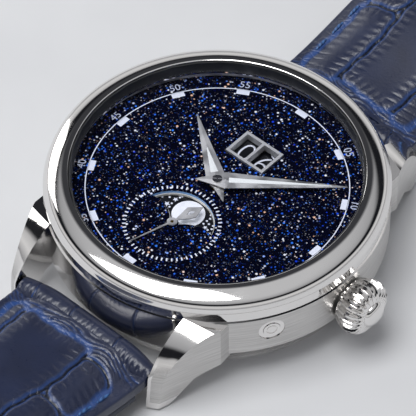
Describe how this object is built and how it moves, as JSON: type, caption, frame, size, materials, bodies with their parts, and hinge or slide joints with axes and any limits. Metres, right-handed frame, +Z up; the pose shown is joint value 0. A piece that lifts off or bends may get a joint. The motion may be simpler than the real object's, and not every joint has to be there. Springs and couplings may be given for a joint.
{
  "type": "moon phase wristwatch",
  "caption": "round steel wristwatch with moon phase, big date and small seconds under domed-edge glass, self-winding movement, padded leather strap with pin buckle",
  "frame": {"origin": "centre of the flat face of the case back, which the watch rests on", "axes": "+Z up through the crystal, +Y to twelve o'clock along the strap, +X to the crown"},
  "size_m": [0.0443, 0.2323, 0.0131],
  "materials": {
    "brushed_steel": "fine circular brushing",
    "polished_steel": "mirror polish",
    "hand_steel": "bevelled and polished",
    "sapphire": "clear, anti-reflection coated",
    "gasket_rubber": "translucent white",
    "dial_glass": "dark blue-grey, glossy",
    "dial_metal": "polished edge",
    "moon_black": "matt black",
    "date_black": "matt black",
    "rhodium_plate": "rhodium with fine graining",
    "gilt_brass": "gilt",
    "hardened_steel": "polished",
    "tungsten": "satin, heavy alloy",
    "ruby": "synthetic ruby, polished",
    "navy_leather": "crocodile-grained, semi-gloss",
    "lining_leather": "smooth, matt"
  },
  "bodies": {
    "case": {"middle_case": "brushed_steel", "bezel": "polished_steel", "crystal": "sapphire", "crystal_gasket": "gasket_rubber", "dial_ring": "polished_steel", "dial_base": "dial_metal", "dial_glass": "dial_glass", "date_frame": "polished_steel", "back_ring": "brushed_steel", "back_glass": "sapphire", "back_gasket": "gasket_rubber", "crown_tube": "polished_steel", "spring_bar_12": "polished_steel", "spring_bar_6": "polished_steel", "corrector_sleeve": "polished_steel", "movement_ring": "rhodium_plate", "main_plate": "rhodium_plate", "barrel_bridge": "rhodium_plate", "train_bridge": "rhodium_plate", "balance_cock": "rhodium_plate", "pallet_bridge": "rhodium_plate", "jewels": "ruby", "bridge_screws": "hardened_steel", "hairspring": "hardened_steel"},
    "minutes": {"cannon_pinion": "hardened_steel", "minute_hand": "hand_steel", "hand_cap": "hand_steel"},
    "motion": {"minute_wheel": "gilt_brass"},
    "hours": {"hour_wheel": "gilt_brass", "hour_hand": "hand_steel"},
    "seconds": {"fourth_wheel": "gilt_brass", "seconds_hand": "hand_steel"},
    "third": {"third_wheel": "gilt_brass"},
    "centre": {"centre_wheel": "gilt_brass"},
    "mainspring_barrel": {"barrel": "gilt_brass"},
    "escape": {"escape_wheel": "hardened_steel"},
    "pallets": {"pallet_fork": "hardened_steel"},
    "balance": {"balance_wheel": "gilt_brass"},
    "rotor_weight": {"rotor": "tungsten"},
    "reverser": {"reversing_wheel": "gilt_brass"},
    "ratchet": {"ratchet_wheel": "gilt_brass", "barrel_arbor": "hardened_steel"},
    "click_pawl": {"click": "hardened_steel"},
    "moon": {"moon_disc": "moon_black"},
    "date_tens": {"date_tens_disc": "date_black"},
    "date_units": {"date_units_disc": "date_black"},
    "clutch": {"sliding_pinion": "hardened_steel"},
    "crown_stem": {"winding_stem": "hardened_steel", "crown": "polished_steel"},
    "corrector": {"corrector_button": "polished_steel"},
    "strap_short": {"strap_12": "navy_leather", "strap_12_lining": "lining_leather", "fixed_keeper": "navy_leather", "buckle_bar": "polished_steel"},
    "strap_long": {"strap_6": "navy_leather", "strap_6_lining": "lining_leather"},
    "keeper": {"loose_keeper": "navy_leather"},
    "buckle": {"buckle_frame": "polished_steel"},
    "tongue": {"buckle_tongue": "polished_steel"}
  },
  "joints": [
    {"name": "minutes_turn", "type": "hinge", "parent": "case", "child": "minutes", "pos_m": [0, 0, 0], "axis": [0, 0, 1], "continuous": true},
    {"name": "motion_turn", "type": "hinge", "parent": "case", "child": "motion", "pos_m": [0.0024, -0.00144, 0], "axis": [0, 0, 1], "continuous": true},
    {"name": "hours_turn", "type": "hinge", "parent": "case", "child": "hours", "pos_m": [0, 0, 0], "axis": [0, 0, 1], "continuous": true},
    {"name": "seconds_turn", "type": "hinge", "parent": "case", "child": "seconds", "pos_m": [0, -0.0077, 0], "axis": [0, 0, 1], "continuous": true},
    {"name": "third_turn", "type": "hinge", "parent": "case", "child": "third", "pos_m": [-0.00208, -0.00399, 0], "axis": [0, 0, 1], "continuous": true},
    {"name": "centre_turn", "type": "hinge", "parent": "case", "child": "centre", "pos_m": [0, 0, 0], "axis": [0, 0, 1], "continuous": true},
    {"name": "barrel_turn", "type": "hinge", "parent": "case", "child": "mainspring_barrel", "pos_m": [-0.0035, 0.00565, 0], "axis": [0, 0, 1], "continuous": true},
    {"name": "escape_turn", "type": "hinge", "parent": "case", "child": "escape", "pos_m": [0.0031, -0.01042, 0], "axis": [0, 0, 1], "continuous": true},
    {"name": "pallets_rock", "type": "hinge", "parent": "case", "child": "pallets", "pos_m": [0.00522, -0.00866, 0], "axis": [0, 0, 1], "range_deg": [-5, 5]},
    {"name": "balance_swing", "type": "hinge", "parent": "case", "child": "balance", "pos_m": [0.0077, -0.0066, 0], "axis": [0, 0, 1], "range_deg": [-270, 270], "stiffness_Nm_per_rad": 0.0000003},
    {"name": "rotor_swing", "type": "hinge", "parent": "case", "child": "rotor_weight", "pos_m": [0, 0, 0], "axis": [0, 0, 1], "continuous": true},
    {"name": "reverser_turn", "type": "hinge", "parent": "case", "child": "reverser", "pos_m": [0.00054, 0.0028, 0], "axis": [0, 0, 1], "continuous": true},
    {"name": "ratchet_turn", "type": "hinge", "parent": "case", "child": "ratchet", "pos_m": [-0.0035, 0.00565, 0], "axis": [0, 0, 1], "continuous": true},
    {"name": "click_lift", "type": "hinge", "parent": "case", "child": "click_pawl", "pos_m": [-0.00769, 0.00445, 0], "axis": [0, 0, 1], "range_deg": [-6, 0], "stiffness_Nm_per_rad": 0.0001},
    {"name": "moon_turn", "type": "hinge", "parent": "case", "child": "moon", "pos_m": [0, -0.0077, 0], "axis": [0, 0, 1], "continuous": true},
    {"name": "date_tens_turn", "type": "hinge", "parent": "case", "child": "date_tens", "pos_m": [-0.00415, 0.00645, 0], "axis": [0, 0, 1], "continuous": true},
    {"name": "date_units_turn", "type": "hinge", "parent": "case", "child": "date_units", "pos_m": [0.00575, 0.00645, 0], "axis": [0, 0, 1], "continuous": true},
    {"name": "crown_turn", "type": "hinge", "parent": "case", "child": "clutch", "pos_m": [0.02015, 0, 0.00605], "axis": [1, 0, 0], "continuous": true},
    {"name": "crown_pull", "type": "slide", "parent": "clutch", "child": "crown_stem", "axis": [1, 0, 0], "range_m": [0, 0.0012]},
    {"name": "corrector_push", "type": "slide", "parent": "case", "child": "corrector", "axis": [-0.8616, 0.5075, 0], "range_m": [0, 0.0006], "stiffness_N_per_m": 100},
    {"name": "strap_short_swing", "type": "hinge", "parent": "case", "child": "strap_short", "pos_m": [0, 0.0221, 0.0041], "axis": [1, 0, 0], "range_deg": [-70, 25]},
    {"name": "strap_long_swing", "type": "hinge", "parent": "case", "child": "strap_long", "pos_m": [0, -0.0221, 0.0041], "axis": [-1, 0, 0], "range_deg": [-70, 25]},
    {"name": "keeper_slide", "type": "slide", "parent": "strap_short", "child": "keeper", "axis": [0, 0.9897, -0.1434], "range_m": [-0.004, 0.004]},
    {"name": "buckle_swing", "type": "hinge", "parent": "strap_short", "child": "buckle", "pos_m": [0, 0.0921, 0.00255], "axis": [1, 0, 0], "range_deg": [-25, 60]},
    {"name": "tongue_lift", "type": "hinge", "parent": "buckle", "child": "tongue", "pos_m": [0, 0.0921, 0.00255], "axis": [1, 0, 0], "range_deg": [0, 60]}
  ],
  "couplings": [
    {"joint": "motion_turn", "follows": "minutes_turn", "ratio": -0.33333},
    {"joint": "hours_turn", "follows": "minutes_turn", "ratio": 0.083333},
    {"joint": "third_turn", "follows": "seconds_turn", "ratio": -0.13333},
    {"joint": "centre_turn", "follows": "seconds_turn", "ratio": 0.016667},
    {"joint": "barrel_turn", "follows": "seconds_turn", "ratio": -0.0027778},
    {"joint": "escape_turn", "follows": "seconds_turn", "ratio": -10},
    {"joint": "reverser_turn", "follows": "rotor_swing", "ratio": -0.46154},
    {"joint": "ratchet_turn", "follows": "rotor_swing", "ratio": 0.3}
  ]
}
